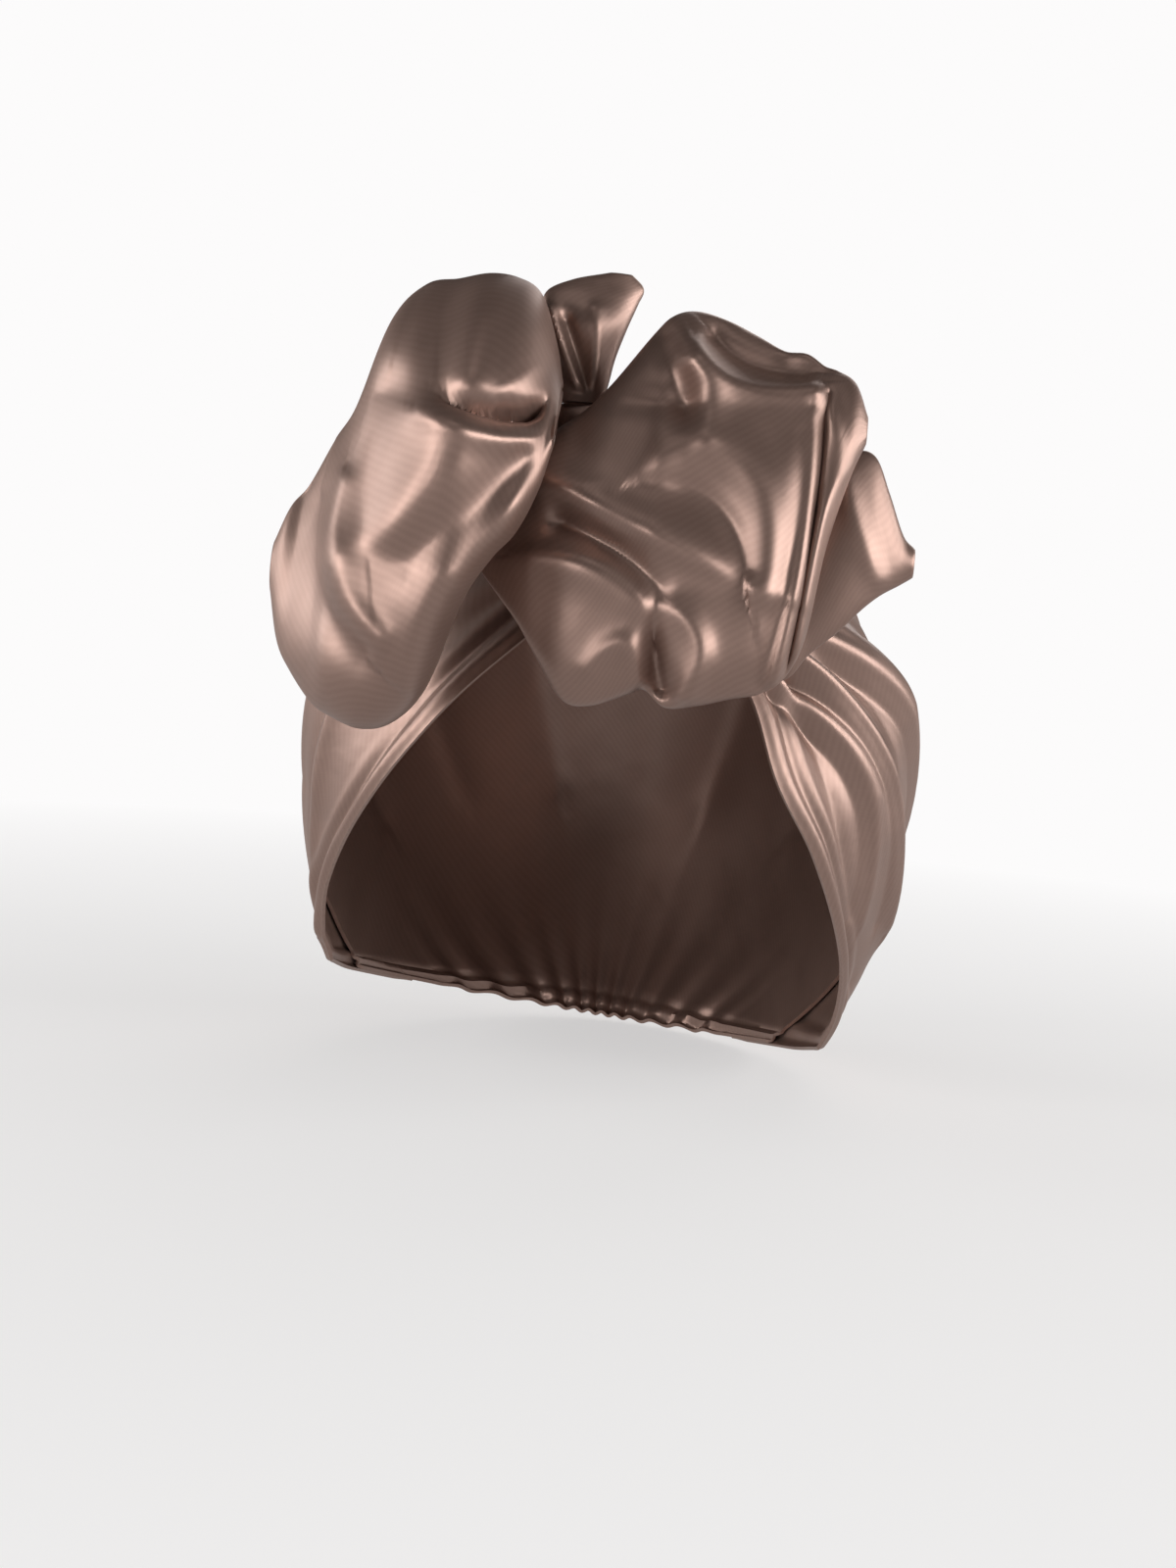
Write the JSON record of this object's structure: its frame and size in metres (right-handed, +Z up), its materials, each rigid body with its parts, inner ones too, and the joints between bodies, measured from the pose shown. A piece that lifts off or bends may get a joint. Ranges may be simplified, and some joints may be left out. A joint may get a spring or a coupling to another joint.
{
  "type": "turban headwrap",
  "caption": "Satin turban headwrap in its worn form: pleated crown, side wraps round an open face, and a puffed bow with two tails on a front knot.",
  "frame": {"origin": "inside apex of the crown, where the top of the wearer's head sits", "axes": "+Z up through the head, -Y the way the wearer faces, +X to the right as seen from the front"},
  "size_m": [0.1649, 0.2391, 0.1995],
  "materials": {
    "satin": "mocha polyester satin with a soft broad shine"
  },
  "bodies": {
    "root": {"crown": "satin", "left_side_wrap": "satin", "right_side_wrap": "satin", "knot": "satin", "left_loop": "satin", "right_loop": "satin", "top_tail": "satin", "right_tail": "satin"}
  },
  "joints": []
}
